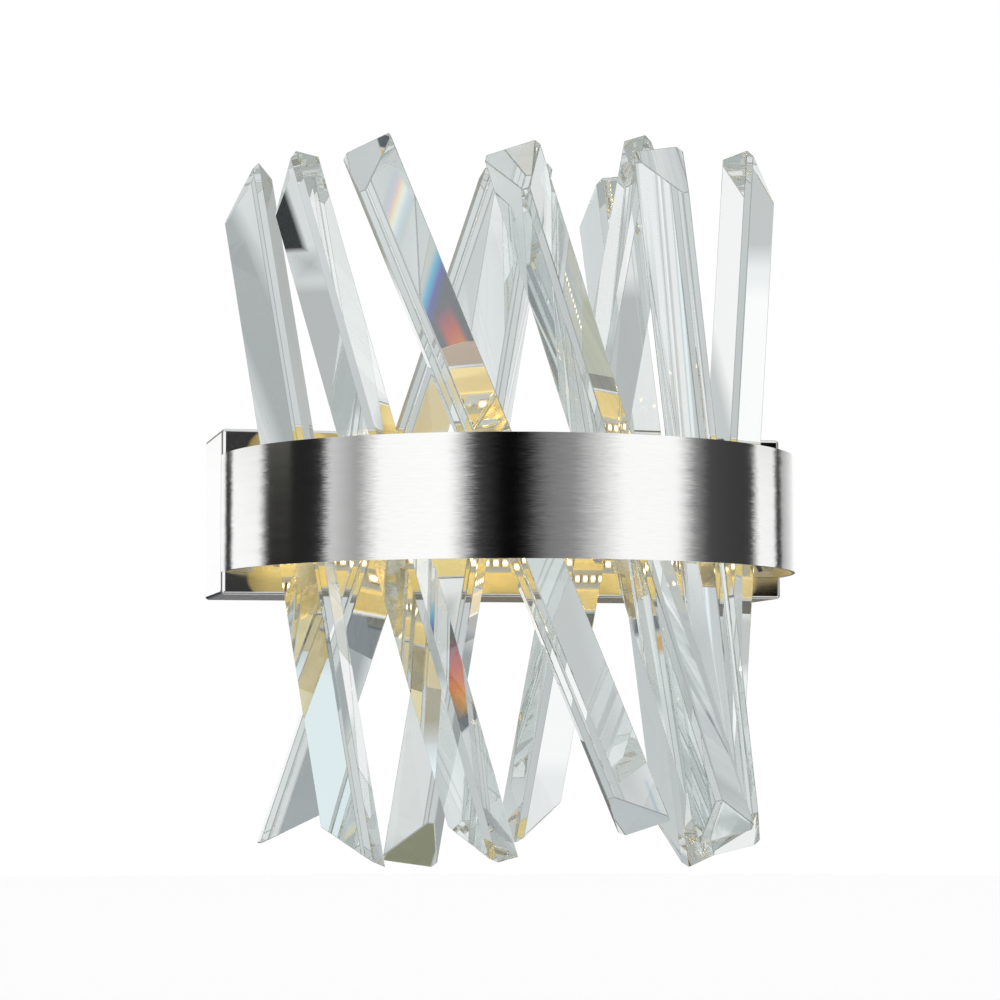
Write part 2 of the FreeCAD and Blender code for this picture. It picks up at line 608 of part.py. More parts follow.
def earth_tags():
    """Ring tags under the earth screws, each with a barrel that holds the end of the lead."""
    drop, length = TAG_BARREL
    tags = []
    for face, way, z in earth_points():
        thick = (face, face + way * TAG_SHEET)
        tag = rod(TAG_WIDTH, V(EARTH_X, thick[0], z), V(EARTH_X, thick[1], z))
        tag = tag.fuse(block(centred(EARTH_X, TAG_WIDTH / 2), thick, (z - drop - length, z)))
        line = face + way * (TAG_SHEET + LEAD / 2)
        barrel = (V(EARTH_X, line, z - drop), V(EARTH_X, line, z - drop - length))
        tag = tag.fuse(rod(LEAD + 2 * TAG_SHEET, *barrel)).removeSplitter()
        tag = tag.common(block(centred(EARTH_X, TAG_WIDTH), (face, face + way * TAG_WIDTH),
                               (z - drop - length, z + TAG_WIDTH)))
        tag = tag.cut(rod(LEAD, *barrel))
        tags.append(drill(tag, [(EARTH_X, z)], M4 + HOLE_GAP, sorted(thick)))
    return tags


def earth_points():
    """Inside face, the way out of it and the height, for the box's and the bracket's earth."""
    return [(INSIDE, 1, EARTH_BOX_Z), (BRACKET_FRONT, -1, EARTH_BRACKET_Z)]


def earth_screws():
    return [screw(M4, V(EARTH_X, face + way * TAG_SHEET, z), V(0, -way, 0), EARTH_SCREW_LENGTH)
            for face, way, z in earth_points()]


def earth_lead():
    depths = [face + way * (TAG_SHEET + LEAD / 2) for face, way, z in earth_points()]
    starts = [z - TAG_BARREL[0] - 1 for face, way, z in earth_points()]
    return lead([V(EARTH_X, depths[0], starts[0]), V(EARTH_X, depths[0], EARTH_LOOP_Z),
                 V(EARTH_X, depths[1], EARTH_LOOP_Z), V(EARTH_X, depths[1], starts[1])], LEAD_BEND)


# ---- files -------------------------------------------------------------------------------------
def all_parts():
    parts = {
        "wall_bracket": wall_bracket(),
        "cable_bushing": cable_bushing(),
        "back_box": back_box(),
        "lock_screws": lock_screws(),
        "front_band": front_band(),
        "band_screws": wall_screws(M4, BAND_SCREWS, BAND_SHEET),
        "band_nuts": wall_nuts(M4, BAND_SCREWS, BAND_SHEET),
        "carrier_screws": wall_screws(M3, CARRIER_SCREWS, CARRIER_SHEET),
        "carrier_nuts": wall_nuts(M3, CARRIER_SCREWS, CARRIER_SHEET),
        "spacer_posts": spacer_posts(),
        "post_screws": post_screws(),
        "crystal_pins": crystal_pins(),
        "pin_sleeves": pin_sleeves(),
        "driver_tray": driver_tray(),
        "driver_cover": driver_cover(),
        "driver_board": driver_board(),
        "driver_parts": driver_parts(),
        "driver_screws": driver_screws(),
        "terminal_block": terminal_block(),
        "clamp_screws": clamp_screws(),
        "terminal_screws": terminal_screws(),
        "wire_bushings": wire_bushings(),
        "lamp_leads": [lead(route, LAMP_LEAD_BEND) for route in lamp_lead_routes()],
        "supply_leads": [lead(route, LEAD_BEND) for route in supply_lead_routes()],
        "earth_tags": earth_tags(),
        "earth_screws": earth_screws(),
        "earth_lead": earth_lead(),
    }
    for name, up in (("upper", 1), ("lower", -1)):
        parts[name + "_carrier"] = carrier(up)
        parts[name + "_lamp_board"] = lamp_board(up)
        parts[name + "_lamps"] = lamps(up)
    for name, rows in (("front", FRONT_ROW), ("rear", REAR_ROW)):
        for k, row in enumerate(rows, 1):
            parts["crystal_%s_%d" % (name, k)] = crystal(row)
    return parts


os.makedirs("parts", exist_ok=True)
for name, shape in all_parts().items():
    if isinstance(shape, list):
        shape = Part.makeCompound(shape)
    shape.exportStep("parts/%s.step" % name)
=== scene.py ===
"""The looks of the crystal wall sconce: brushed metal, cut glass, lit lamps, studio and camera."""
import bmesh
import bpy
import json
import math
from mathutils import Matrix, Vector


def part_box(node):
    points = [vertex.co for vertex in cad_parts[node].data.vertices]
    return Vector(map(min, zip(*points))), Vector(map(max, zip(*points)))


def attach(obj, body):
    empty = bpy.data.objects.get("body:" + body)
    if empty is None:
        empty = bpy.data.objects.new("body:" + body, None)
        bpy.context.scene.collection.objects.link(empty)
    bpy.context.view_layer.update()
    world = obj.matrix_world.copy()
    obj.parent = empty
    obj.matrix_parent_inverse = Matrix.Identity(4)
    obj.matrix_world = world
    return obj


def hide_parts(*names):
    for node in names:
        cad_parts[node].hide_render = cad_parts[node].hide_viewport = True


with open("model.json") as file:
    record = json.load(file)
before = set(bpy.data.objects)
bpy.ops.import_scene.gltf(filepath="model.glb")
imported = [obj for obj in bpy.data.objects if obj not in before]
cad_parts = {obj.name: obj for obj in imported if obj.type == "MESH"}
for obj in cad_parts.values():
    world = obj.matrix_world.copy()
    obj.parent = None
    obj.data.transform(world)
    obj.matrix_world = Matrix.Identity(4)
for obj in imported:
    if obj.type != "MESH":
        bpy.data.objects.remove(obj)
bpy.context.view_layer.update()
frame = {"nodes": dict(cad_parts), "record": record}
nodes = frame["nodes"]


# ---- places worked out from the frame ------------------------------------------------------------
def middle_height(name):
    low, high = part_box(name)
    return (low[2] + high[2]) / 2


RING_Z = middle_height("front_band")
LAMP_RISE = middle_height("upper_lamps") - RING_Z
BOX_FRONT_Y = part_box("back_box")[0][1]
LAMPS_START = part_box("upper_lamps")[0][0]

# ---- driving values --------------------------------------------------------------------------------
# Lengths are in metres, and angles in degrees where no other unit is given.
FLOOR_Z = -0.75
FLOOR_RADIUS = 12.0
FLOOR_SIDES = 36
CAMERA_PLACE = (-0.2793, -1.2746, -0.0933)
CAMERA_YAW = 12.76                              # to the right of straight at the wall
CAMERA_PITCH = 4.57                             # upwards
CAMERA_ROLL = -0.11
CAMERA_SENSOR = 36.0                            # millimetres, as the lens
CAMERA_LENS = 103.57
BOUNCES = 24                                    # of a ray between the prisms

CRYSTAL_INDEX = 1.518
CRYSTAL_TINT = (0.965, 0.985, 0.98)
CRYSTAL_SHADOW = tuple(c * 0.97 for c in CRYSTAL_TINT)
DEEPEST_BOUNCE = 15.0
DEEP_GLASS = (0.42, 0.46, 0.45)                 # light that has gone to and fro too often to follow
EDGE_WIDTH = 0.0006                             # the polished edges of the prisms
EDGE_FACETS = 2
# the edge facets' glass is tinted grey: painted shade, dark lines along the prisms' edges
EDGE_SHADE_TINT = (0.42, 0.44, 0.41)
EDGE_ROUGHNESS = 0.06
SHARP_EDGE = 20.0
SHORT_EDGE = 0.002                              # shorter edges, as those of the bores, stay as they are
WELD_DISTANCE = 1e-6
LEVEL_FACES = 0.5                               # faces that turn less than this become one

LAMP_LIGHT = (1.0, 0.72, 0.34)
LAMP_STRENGTH = 16.0
LAMP_PITCH = 0.0042
LAMP_FIRST = LAMPS_START + 0.0014               # middle of the first lamp, half a lamp from its end
LAMP_SPOT = 0.0012                              # radius of the bright middle of each lamp
LAMP_RIM = 0.06                                 # how bright the rest of it is, beside the middle
LAMP_SIDE = 0.15                                # how bright its sides are, beside its front

GLOW_REACH = 0.028                              # where the lamps' light has fallen to half
GLOW_LEVEL = 0.55
GLOW_GILDS = 2.0                                # how soon the light makes the metal golden
LAMP_ROW_HALF = 0.102                           # half the length of a row of lamps
PAST_ROW_FALL = 6.0                             # how much faster the light falls beyond a row's end
LIT_METAL = (1.0, 0.78, 0.30)
# painted lamp light: the colour that the metal turns to near the lamps
PAINTED_LAMP_GOLD = (0.48, 0.37, 0.14)
LIT_HALF_WIDTH = 0.1135                         # how far the light reaches along the box
LIT_STRAIGHT_RISE = 0.028                       # up to here the lit part has straight ends
LIT_CORNER = 90.0                               # how strongly its corners are rounded beyond
LIT_SHARPNESS = 600.0
# painted light from the prisms: a warm colour on the box's underside
PAINTED_PRISM_LIGHT = (0.86, 0.66, 0.22)                 # under the box, in place of light that the prisms throw there
PRISM_LIGHT_FROM = -0.093                              # along the box
PRISM_LIGHT_SHARPNESS = 90.0

GRAIN_ALONG = 200.0                             # brushed lines in a metre, along and across
GRAIN_ACROSS = 2600.0
GRAIN_BROAD = (0.1, 0.1, 0.12)                  # broad streaks, as shares of the lines' scale
GRAIN_TURN = 0.07                               # how far a line turns the mirrored studio, in radians
GRAIN_BROAD_TURN = 0.3 * GRAIN_TURN
GRAIN_ROUGHNESS = 0.05
GRAIN_DARKEST = 0.96
BRUSHED_ROUGHNESS = 0.13
BRUSHED_STRETCH = 0.45
BOX_FRONT_TURN = -0.25                          # radians: how far the box's flat front turns what it mirrors
LYING = 0.7                                     # upright part of the normal of a face that lies flat
STRAIGHT_ON = 0.95                              # and the part along an axis of a face that looks along it
SKIN = 0.001                                    # on either side of a face that is found by its place

# What the glass shows of the studio: a pale grey with soft streaks, and screens and flags before it.
# A screen is (degrees to the left of the wall's middle, degrees up, half width, half height, softness,
# lean, colour). A colour that is a list runs across the screen, from its right side to its left.
# These lists were typed to match what the photograph shows from its own viewpoint.
STUDIO_GREYS = [(0.36, (0.50, 0.53, 0.535)), (0.50, (0.64, 0.67, 0.67)), (0.64, (0.86, 0.875, 0.88))]
STREAK_SCALE = (26.0, 26.0, 7.0)
STREAK_LEVEL = 0.22
WHITE = (1.0, 1.0, 1.0)
NEAR_WHITE = (0.86, 0.88, 0.88)
PALE = (0.74, 0.76, 0.76)
PALE_BLUE = (0.82, 0.92, 0.95)
SILVER = (0.50, 0.52, 0.52)
GREY = (0.40, 0.43, 0.43)
DIM = (0.31, 0.34, 0.35)
DARK = (0.19, 0.21, 0.21)
SLATE = (0.085, 0.095, 0.11)
BLACK = (0.015, 0.018, 0.018)
PALE_GOLD = (0.78, 0.68, 0.38)
TAUPE = (0.38, 0.35, 0.26)
OLIVE = (0.24, 0.25, 0.16)
RAINBOW = [
    (0.0, (0.56, 0.60, 0.64)), (0.25, (0.58, 0.60, 0.66)), (0.36, (0.84, 0.60, 0.60)),
    (0.46, (0.95, 0.84, 0.50)), (0.56, (0.90, 0.93, 0.88)), (0.74, (0.58, 0.70, 0.76)),
    (1.0, (0.52, 0.56, 0.53)),
]
BLUE_RIM = [
    (0.0, SLATE), (0.62, SLATE), (0.72, (0.07, 0.08, 0.34)), (0.80, (0.05, 0.40, 0.62)),
    (0.88, (0.52, 0.56, 0.53)), (1.0, (0.52, 0.56, 0.53)),
]
EMBER = [
    (0.0, (0.60, 0.32, 0.03)), (0.3, (0.62, 0.20, 0.03)), (0.6, (0.48, 0.09, 0.06)),
    (0.85, (0.22, 0.08, 0.12)), (1.0, SLATE),
]
SCREENS = [
    (-133.4, 2.0, 3.0, 4.0, 6.0, 0.0, (0.92, 0.94, 0.94)),
    (-132.3, -9.5, 1.5, 2.0, 1.5, 0.0, (0.53, 0.56, 0.56)),
    (-115.0, 31.0, 10.0, 11.0, 2.0, 0.0, DARK),
    (-165.5, 17.5, 2.5, 4.0, 0.7, 0.0, DIM),
    (-155.0, 6.5, 6.0, 6.0, 0.8, 0.0, WHITE),
    (-127.0, -32.6, 2.0, 1.2, 0.6, 0.0, GREY),
    (-116.6, 2.4, 1.0, 1.2, 0.5, 0.0, PALE_BLUE),
    (-96.4, 6.2, 1.0, 1.4, 0.5, 0.0, (0.53, 0.55, 0.53)),
    (-91.6, 5.8, 1.6, 1.5, 0.4, 0.0, PALE_GOLD),
    (-62.0, 3.0, 2.0, 1.2, 0.5, 0.0, NEAR_WHITE),
    (-59.3, 5.0, 1.2, 8.0, 0.2, 0.0, WHITE),
    (-54.9, 11.3, 0.5, 0.35, 0.15, 0.0, SLATE),
    (-54.9, 10.8, 0.3, 0.25, 0.15, 0.0, (0.60, 0.33, 0.06)),
    (-52.9, 4.6, 2.6, 1.4, 0.8, 0.0, NEAR_WHITE),
    (-50.7, -7.3, 0.9, 1.6, 0.5, 0.0, PALE),
    (-51.1, -4.6, 0.6, 1.0, 0.4, 0.0, GREY),
    (-50.4, 16.5, 1.0, 4.0, 0.5, 0.0, GREY),
    (-49.0, 7.4, 1.2, 2.9, 0.6, 0.0, PALE_BLUE),
    (-49.0, 11.4, 1.2, 1.2, 0.5, 0.0, TAUPE),
    (-48.5, 18.4, 0.9, 1.5, 0.3, 0.0, SILVER),
    (-48.6, 20.2, 0.4, 0.4, 0.5, 0.0, GREY),
    (-48.25, 21.4, 0.42, 0.95, 0.12, 0.0, BLACK),
    (-31.2, -26.4, 1.2, 1.0, 0.4, 0.0, WHITE),
    (-19.0, 27.0, 2.0, 1.0, 0.4, 0.0, OLIVE),
    (-15.5, 33.0, 2.0, 1.5, 0.4, 0.0, WHITE),
    (-1.5, 21.5, 3.0, 3.5, 0.6, 0.0, PALE_GOLD),
    (-0.2, 26.6, 1.6, 0.6, 0.3, 0.0, (0.50, 0.54, 0.555)),
    (24.0, 9.0, 1.6, 3.2, 0.4, 0.0, WHITE),
    (24.0, 14.2, 1.6, 1.8, 0.5, 0.0, SILVER),
    (24.6, 23.1, 0.8, 0.5, 0.2, 0.0, DARK),
    (23.4, 4.9, 1.0, 0.7, 0.3, 0.0, SILVER),
    (23.4, 2.9, 1.4, 0.9, 0.3, 0.0, WHITE),
    (24.6, -5.6, 1.0, 1.6, 0.6, 0.0, (0.46, 0.475, 0.38)),
    (28.3, -14.5, 1.9, 5.0, 1.2, 0.0, SILVER),
    (26.85, -18.45, 0.12, 0.45, 0.25, 0.0, (0.16, 0.36, 0.52)),
    (32.6, -1.6, 1.3, 2.4, 0.4, 0.0, WHITE),
    (33.8, 20.6, 1.2, 0.9, 0.4, 0.0, (0.66, 0.52, 0.24)),
    (34.2, 13.6, 1.6, 3.0, 0.6, 0.0, DIM),
    (39.8, -1.9, 1.0, 1.6, 0.4, 0.0, NEAR_WHITE),
    (78.8, 3.0, 3.6, 4.5, 0.5, 0.0, WHITE),
    (136.25, 0.35, 0.50, 0.75, 0.12, -33.0, RAINBOW),
    (-20.25, -18.42, 0.16, 0.14, 0.04, 0.0, SLATE),
    (-20.25, -18.63, 0.16, 0.07, 0.04, 0.0, (0.80, 0.42, 0.03)),
    (29.9, -8.4, 1.2, 1.5, 0.05, 38.0, BLUE_RIM),
    (29.75, -8.9, 0.75, 0.5, 0.25, 56.0, EMBER),
]

# What the metal shows above and below the level of the wall, given in the same way.
METAL_SCREENS = [
    (0.0, 27.0, 75.0, 21.0, 1.0, 0.0, (0.29, 0.285, 0.25)),
    (0.0, -25.0, 80.0, 22.5, 0.6, 0.0, (0.16, 0.18, 0.20)),
    (0.0, -4.6, 80.0, 3.2, 0.5, 0.0, (0.03, 0.03, 0.03)),
    (0.0, -76.0, 180.0, 16.0, 4.0, 0.0, (0.20, 0.20, 0.20)),
    (-30.0, -19.0, 30.0, 11.0, 1.5, 0.0, (0.74, 0.74, 0.73)),
    (29.8, 9.0, 1.8, 1.4, 0.4, 0.0, (0.55, 0.27, 0.08)),
    (24.4, 6.6, 2.0, 1.2, 0.4, 0.0, (0.40, 0.39, 0.31)),
]

# How bright the studio is all round, as the band mirrors it: degrees to the right of the room's
# middle, and the grey that the mirrored stripe has (0 black to 1 white).
STUDIO_STRIPES = [
    (-180, 0.97), (-165, 0.95), (-161, 0.10), (-154, 0.10), (-151.5, 0.97), (-126, 0.97),
    (-120, 0.11), (-88, 0.13), (-84.5, 0.80), (-71, 0.58), (-62, 0.97), (-33, 0.985), (-24, 0.22),
    (-14, 0.02), (-8.5, 0.0), (-4, 0.12), (4, 0.46), (14, 0.53), (23, 0.78), (33, 0.97), (57, 0.97),
    (65, 0.52), (72, 0.26), (99, 0.20), (103.5, 0.97), (118, 0.95), (120.5, 0.04), (124.5, 0.04),
    (127.5, 0.66), (150, 0.95),
]
STRIPE_GAIN = 1.15                              # makes up for what the metal swallows
TOP_GREY = (0.8, 0.8, 0.8)                      # of the studio straight above and below
TOP_FROM = 0.7                                  # sine of the height where the stripes begin to fade
TOP_SHARPNESS = 5.0


# ---- node trees ------------------------------------------------------------------------------------
class Tree:
    """A node tree that is filled one node at a time."""

    def __init__(self, owner):
        owner.use_nodes = True
        self.tree = owner.node_tree
        self.tree.nodes.clear()

    def put(self, socket, value):
        """Links an input to another node's output, or sets it."""
        if isinstance(value, bpy.types.NodeSocket):
            self.tree.links.new(value, socket)
        else:
            socket.default_value = value

    def add(self, kind, inputs=None, out=0, **settings):
        """Makes a node, sets or links its inputs and gives back one of its outputs."""
        node = self.tree.nodes.new(kind)
        for name, value in settings.items():
            setattr(node, name, value)
        for name, value in (inputs or {}).items():
            self.put(node.inputs[name], value)
        return node.outputs[out]

    def path(self):
        """All outputs of a Light Path node, by name."""
        return self.tree.nodes.new("ShaderNodeLightPath").outputs

    def place(self):
        return self.add("ShaderNodeTexCoord", out=3)

    def normal(self):
        return self.add("ShaderNodeNewGeometry", out=1)

    def math(self, operation, a, b=0.0, c=0.0, clamp=False):
        return self.add("ShaderNodeMath", {0: a, 1: b, 2: c}, operation=operation, use_clamp=clamp)

    def apart(self, a, b):
        """How far apart two values lie."""
        return self.math("ABSOLUTE", self.math("SUBTRACT", a, b))

    def spread(self, value, scale, middle):
        """Turns a noise from 0 to 1 into one that swings round a middle value."""
        return self.math("MULTIPLY_ADD", self.math("SUBTRACT", value, 0.5), scale, middle)

    def vector(self, operation, a, b=(0.0, 0.0, 0.0), c=(0.0, 0.0, 0.0), out=0):
        return self.add("ShaderNodeVectorMath", {0: a, 1: b, 2: c}, out=out, operation=operation)

    def scaled(self, vector, scale):
        return self.add("ShaderNodeVectorMath", {0: vector, "Scale": scale}, operation="SCALE")

    def split(self, vector):
        node = self.tree.nodes.new("ShaderNodeSeparateXYZ")
        self.put(node.inputs[0], vector)
        return node.outputs

    def join(self, x, y, z):
        return self.add("ShaderNodeCombineXYZ", {0: x, 1: y, 2: z})

    def noise(self, place, scale=1.0, detail=2.0, roughness=0.5):
        return self.add("ShaderNodeTexNoise", {"Vector": place, "Scale": scale, "Detail": detail,
                                               "Roughness": roughness})

    def bump(self, height, strength, distance):
        return self.add("ShaderNodeBump", {"Height": height, "Strength": strength, "Distance": distance})

    def ramp(self, factor, stops):
        """stops: (place from 0 to 1, grey or colour)."""
        node = self.tree.nodes.new("ShaderNodeValToRGB")
        elements = node.color_ramp.elements
        while len(elements) > 1:
            elements.remove(elements[-1])
        for k, (place, colour) in enumerate(stops):
            element = elements[0] if k == 0 else elements.new(place)
            element.position = place
            element.color = opaque(colour if isinstance(colour, tuple) else (colour,) * 3)
        self.put(node.inputs[0], factor)
        return node.outputs[0]

    def mix(self, factor, a, b):
        node = self.tree.nodes.new("ShaderNodeMix")
        node.data_type = "RGBA"
        for socket, value in ((node.inputs[0], factor), (node.inputs[6], a), (node.inputs[7], b)):
            self.put(socket, opaque(value) if isinstance(value, tuple) else value)
        return node.outputs[2]

    def mix_shader(self, factor, a, b):
        return self.add("ShaderNodeMixShader", {0: factor, 1: a, 2: b})

    def finish(self, shader, kind="ShaderNodeOutputMaterial"):
        node = self.tree.nodes.new(kind)
        self.put(node.inputs["Surface"], shader)


def opaque(colour):
    return tuple(colour) + (1.0,)


def linear(grey):
    """A grey as the eye sees it, as an amount of light."""
    return grey / 12.92 if grey <= 0.04045 else ((grey + 0.055) / 1.055) ** 2.4


def shaded(colour, share):
    """A darker shade of a colour."""
    return tuple(c * share for c in colour)


# ---- lamp light on what stands round the lamps -------------------------------------------------------
def lamp_glow(t, place):
    """How strongly both rows of lamps light a place: 1 beside them, falling off with distance."""
    x, y, z = place
    beyond = t.math("MAXIMUM", t.math("SUBTRACT", t.math("ABSOLUTE", x), LAMP_ROW_HALF), 0.0)
    rise = t.math("SUBTRACT", t.apart(z, RING_Z), LAMP_RISE)
    depth = t.math("SUBTRACT", y, BOX_FRONT_Y)
    far = t.math("MULTIPLY", beyond, t.math("MULTIPLY", beyond, PAST_ROW_FALL))
    far = t.math("MULTIPLY_ADD", rise, rise, far)
    far = t.math("MULTIPLY_ADD", depth, depth, far)
    return t.math("DIVIDE", GLOW_REACH ** 2, t.math("ADD", far, GLOW_REACH ** 2))


def lit_width(t, place):
    """1 on the part of the box's front that the ring's lamps light, 0 beside it."""
    x, _, z = place
    corner = t.math("SUBTRACT", t.apart(z, RING_Z), LIT_STRAIGHT_RISE)
    corner = t.math("MAXIMUM", corner, 0.0)
    corner = t.math("MULTIPLY", t.math("MULTIPLY", corner, corner), LIT_CORNER)
    end = t.math("SUBTRACT", t.math("SUBTRACT", LIT_HALF_WIDTH, corner), t.math("ABSOLUTE", x))
    return t.math("MULTIPLY_ADD", end, LIT_SHARPNESS, 0.5, clamp=True)


def inside_band(t, spot, place, normal):
    """1 on the band's inner side, 0 on its outer side and on the box."""
    from_middle = t.vector("SUBTRACT", spot, (0.0, BOX_FRONT_Y, 0.0))
    outward = t.vector("DOT_PRODUCT", normal, from_middle, out=1)
    before_box = t.math("LESS_THAN", place[1], BOX_FRONT_Y)
    return t.math("MULTIPLY", t.math("LESS_THAN", outward, 0.0), before_box)


def painted_prism_light_mask(t, place, facing):
    """Where the painted light from the prisms lies: 1 on those faces of the box that look down, fading to 0
    at its left end, and 0 elsewhere.
    """
    down = t.math("LESS_THAN", facing[2], -STRAIGHT_ON)
    behind = t.math("GREATER_THAN", place[1], BOX_FRONT_Y + SKIN)
    along = t.math("MULTIPLY_ADD", place[0], PRISM_LIGHT_SHARPNESS, -PRISM_LIGHT_SHARPNESS * PRISM_LIGHT_FROM, clamp=True)
    return t.math("MULTIPLY", t.math("MULTIPLY", down, behind), along)


# ---- metal -----------------------------------------------------------------------------------------
def brushed(name, colour):
    """Sheet with a fine level grain: each line of it turns what the metal mirrors a little. Painted lamp
    light, a gold tint and a glow, lies inside the band and on the box's front, and painted light from the
    prisms lies under the box.
    """
    material = bpy.data.materials.new(name)
    t = Tree(material)
    spot = t.place()
    place = t.split(spot)
    normal = t.normal()
    facing = t.split(normal)

    # the grain runs along the sheet, level on upright faces and sideways on those that lie flat
    lying = t.math("GREATER_THAN", t.math("ABSOLUTE", facing[2]), LYING)
    steep = t.math("SUBTRACT", 1.0, lying)
    across = t.math("MULTIPLY_ADD", place[1], lying, t.math("MULTIPLY", place[2], steep))
    lines = t.join(t.math("MULTIPLY", place[0], GRAIN_ALONG),
                   t.math("MULTIPLY", t.math("MULTIPLY", place[1], GRAIN_ALONG), steep),
                   t.math("MULTIPLY", across, GRAIN_ACROSS))
    streak = t.noise(lines, detail=3.0, roughness=0.75)
    broad = t.noise(t.vector("MULTIPLY", lines, GRAIN_BROAD))
    level = t.vector("ADD", t.vector("CROSS_PRODUCT", (0.0, 0.0, 1.0), normal), t.join(lying, 0.0, 0.0))
    level = t.vector("NORMALIZE", level)
    upright = t.vector("NORMALIZE", t.vector("CROSS_PRODUCT", normal, level))

    # how far each spot turns what it mirrors
    front = t.math("GREATER_THAN", t.math("MULTIPLY", facing[1], -1.0), STRAIGHT_ON)
    front = t.math("MULTIPLY", front, t.math("GREATER_THAN", place[1], BOX_FRONT_Y - SKIN))
    turn = t.spread(streak, GRAIN_TURN, 0.0)
    turn = t.spread(broad, GRAIN_BROAD_TURN, turn)
    turn = t.math("MULTIPLY_ADD", front, BOX_FRONT_TURN, turn)
    bent = t.vector("NORMALIZE", t.vector("ADD", normal, t.scaled(level, turn)))

    # the lamps' light, inside the band and on the box's front behind it
    lit = t.math("MAXIMUM", inside_band(t, spot, place, normal),
                 t.math("MULTIPLY", front, lit_width(t, place)))
    glow = t.math("MULTIPLY", lamp_glow(t, place), lit)
    light = t.math("MULTIPLY_ADD", streak, 0.5 * GLOW_LEVEL, 0.75 * GLOW_LEVEL)
    light = t.math("MULTIPLY", glow, light)

    shade = t.ramp(streak, [(0.3, shaded(colour, GRAIN_DARKEST)), (0.62, colour)])
    # painted lamp light: near the lamps the metal's colour turns gold
    shade = t.mix(t.math("MULTIPLY", glow, GLOW_GILDS, clamp=True), shade, PAINTED_LAMP_GOLD)
    # painted light: the box's underside turns warm, in place of light that the prisms throw there
    shade = t.mix(painted_prism_light_mask(t, place, facing), shade, PAINTED_PRISM_LIGHT)
    t.finish(t.add("ShaderNodeBsdfPrincipled", {
        "Base Color": shade, "Metallic": 1.0,
        "Roughness": t.spread(broad, GRAIN_ROUGHNESS, BRUSHED_ROUGHNESS),
        "Anisotropic": BRUSHED_STRETCH, "Normal": bent, "Tangent": upright,
        "Emission Color": opaque(LIT_METAL), "Emission Strength": light}))
    return material


def plated(name, colour, roughness=0.3, spangle=400.0, glow=0.0):
    """Zinc-plated or turned metal with a faint cloudy grain. With glow, painted lamp light is added near the
    lamps: a gold tint in the colour and a glow.
    """
    material = bpy.data.materials.new(name)
    t = Tree(material)
    spot = t.place()
    cloud = t.noise(spot, scale=spangle, detail=3.0)
    shade = t.ramp(cloud, [(0.3, shaded(colour, 0.85)), (0.7, colour)])
    inputs = {
        "Base Color": shade, "Metallic": 1.0, "Roughness": t.spread(cloud, 0.2, roughness),
        "Normal": t.bump(t.noise(spot, scale=spangle * 4), strength=0.08, distance=0.0002)}
    if glow:
        near = lamp_glow(t, t.split(spot))
        # painted lamp light: near the lamps the colour turns gold and glows
        painted_gold = t.mix(t.math("MULTIPLY", near, GLOW_GILDS, clamp=True), shade, PAINTED_LAMP_GOLD)
        light = t.math("MULTIPLY", near, t.math("MULTIPLY_ADD", cloud, 0.4 * glow, 0.8 * glow))
        inputs.update({"Base Color": painted_gold, "Emission Color": opaque(LIT_METAL),
                       "Emission Strength": light})
    t.finish(t.add("ShaderNodeBsdfPrincipled", inputs))
    return material


# ---- plastic, rubber, boards -------------------------------------------------------------------------
def moulded(name, colour, roughness=0.45):
    """Plastic, rubber or varnish: faint clouds in the colour and a fine grain."""
    material = bpy.data.materials.new(name)
    t = Tree(material)
    spot = t.place()
    soft = t.noise(spot, scale=60.0)
    t.finish(t.add("ShaderNodeBsdfPrincipled", {
        "Base Color": t.ramp(soft, [(0.3, shaded(colour, 0.93)), (0.7, colour)]),
        "Roughness": t.spread(soft, 0.15, roughness),
        "Normal": t.bump(t.noise(spot, scale=1500.0), strength=0.1, distance=0.0003)}))
    return material


# ---- lamps -----------------------------------------------------------------------------------------
def lit_lamp(name):
    """Warm lamps: a bright round middle in each, on the side that looks away from the box."""
    material = bpy.data.materials.new(name)
    t = Tree(material)
    facing = t.split(t.normal())
    front = t.math("MULTIPLY", facing[1], -1.0, clamp=True)
    front = t.math("MULTIPLY_ADD", front, 1.0 - LAMP_SIDE, LAMP_SIDE)
    x, _, z = t.split(t.place())
    cell = t.math("FRACT", t.math("MULTIPLY_ADD", x, 1.0 / LAMP_PITCH, 0.5 - LAMP_FIRST / LAMP_PITCH))
    aside = t.spread(cell, LAMP_PITCH, 0.0)
    rise = t.math("SUBTRACT", t.apart(z, RING_Z), LAMP_RISE)
    off = t.math("MULTIPLY_ADD", aside, aside, t.math("MULTIPLY", rise, rise))
    middle = t.math("MULTIPLY_ADD", off, -1.0 / LAMP_SPOT ** 2, 1.0, clamp=True)
    middle = t.math("MULTIPLY_ADD", middle, 1.0 - LAMP_RIM, LAMP_RIM)
    strength = t.math("MULTIPLY", front, t.math("MULTIPLY", middle, LAMP_STRENGTH))
    t.finish(t.add("ShaderNodeEmission", {"Color": opaque(LAMP_LIGHT), "Strength": strength}))
    return material


# ---- glass -----------------------------------------------------------------------------------------
def cut_glass(name, tint=CRYSTAL_TINT, roughness=0.0):
    """Clear crystal. Shadows pass straight through."""
    material = bpy.data.materials.new(name)
    t = Tree(material)
    path = t.path()
    glass = t.add("ShaderNodeBsdfPrincipled", {
        "Base Color": opaque(tint), "Roughness": roughness, "IOR": CRYSTAL_INDEX,
        "Transmission Weight": 1.0})
    lost = t.add("ShaderNodeEmission", {"Color": opaque(DEEP_GLASS), "Strength": 1.0})
    glass = t.mix_shader(t.math("GREATER_THAN", path["Ray Depth"], DEEPEST_BOUNCE), glass, lost)
    clear = t.add("ShaderNodeBsdfTransparent", {"Color": opaque(CRYSTAL_SHADOW)})
    through = t.math("MAXIMUM", path["Is Shadow Ray"], path["Is Diffuse Ray"])
    t.finish(t.mix_shader(through, glass, clear))
    return material


